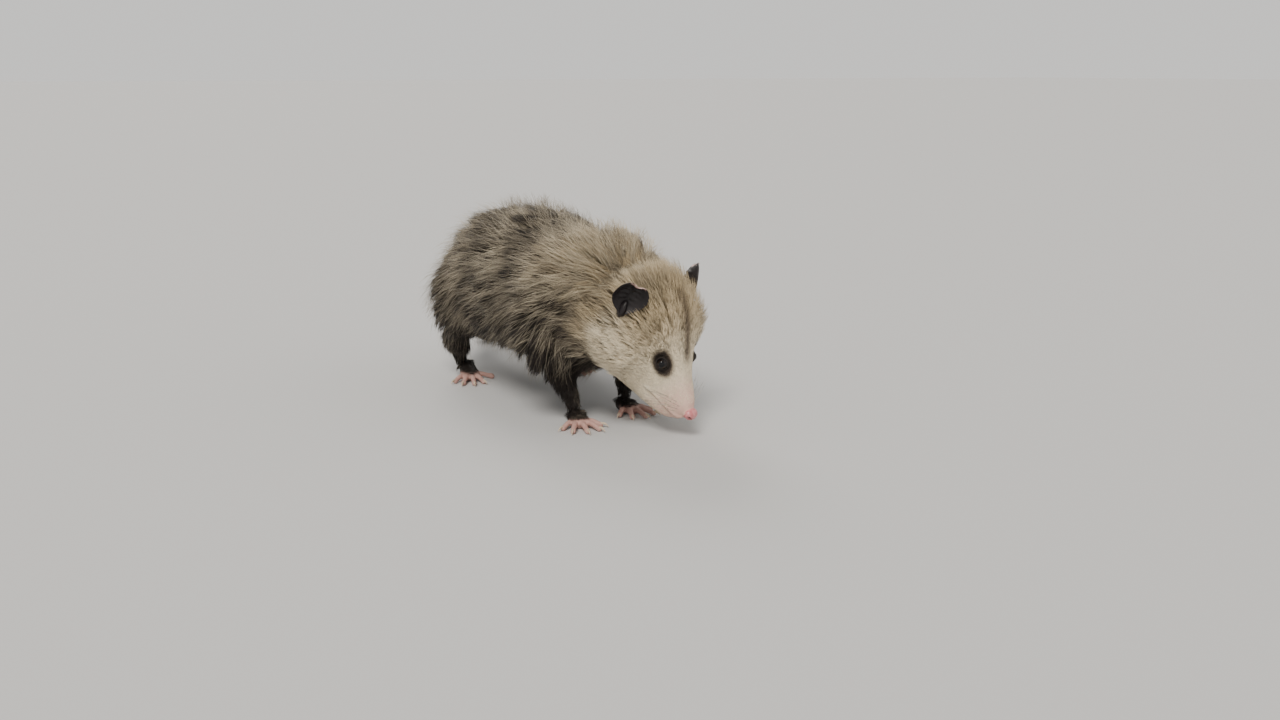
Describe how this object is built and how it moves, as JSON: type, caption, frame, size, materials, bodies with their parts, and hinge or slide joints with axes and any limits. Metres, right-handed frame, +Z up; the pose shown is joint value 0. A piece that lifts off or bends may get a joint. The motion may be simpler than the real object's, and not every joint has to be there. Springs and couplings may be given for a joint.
{
  "type": "virginia opossum model",
  "caption": "Life-size still model of a Virginia opossum on all fours, back arched, head lowered and turned to its left, tail lying curled beside it.",
  "frame": {"origin": "the middle of the footprint's bounding box, on the floor that the feet and tail rest on", "axes": "+Z up, the animal faces -Y, and its left side is +X"},
  "size_m": [0.2836, 0.5244, 0.195],
  "materials": {
    "pale_coat": "long soft cream-white fur",
    "grizzled_coat": "dense pale underfur with long dark and white guard hairs",
    "dark_coat": "short soft brown-black fur",
    "nose_skin": "moist bare pink skin, finely pebbled",
    "dark_skin": "bare thin black skin, paler at the rims and toes",
    "tail_skin": "bare ringed scales, black at the root and pinkish white beyond",
    "eye": "wet, near black"
  },
  "bodies": {
    "root": {"head": "pale_coat", "lower_jaw": "pale_coat", "nose": "nose_skin", "eye_left": "eye", "ear_left": "dark_skin", "eye_right": "eye", "ear_right": "dark_skin", "shoulder_left": "grizzled_coat", "forearm_left": "dark_coat", "forefoot_left": "dark_skin", "shoulder_right": "grizzled_coat", "forearm_right": "dark_coat", "forefoot_right": "dark_skin", "thigh_left": "grizzled_coat", "shank_left": "dark_coat", "hindfoot_left": "dark_skin", "thigh_right": "grizzled_coat", "shank_right": "dark_coat", "hindfoot_right": "dark_skin", "tail_base": "dark_coat", "tail_length_1": "tail_skin", "tail_length_2": "tail_skin", "tail_length_3": "tail_skin", "tail_length_4": "tail_skin", "neck": "pale_coat", "chest": "grizzled_coat", "loins": "grizzled_coat"}
  },
  "joints": []
}
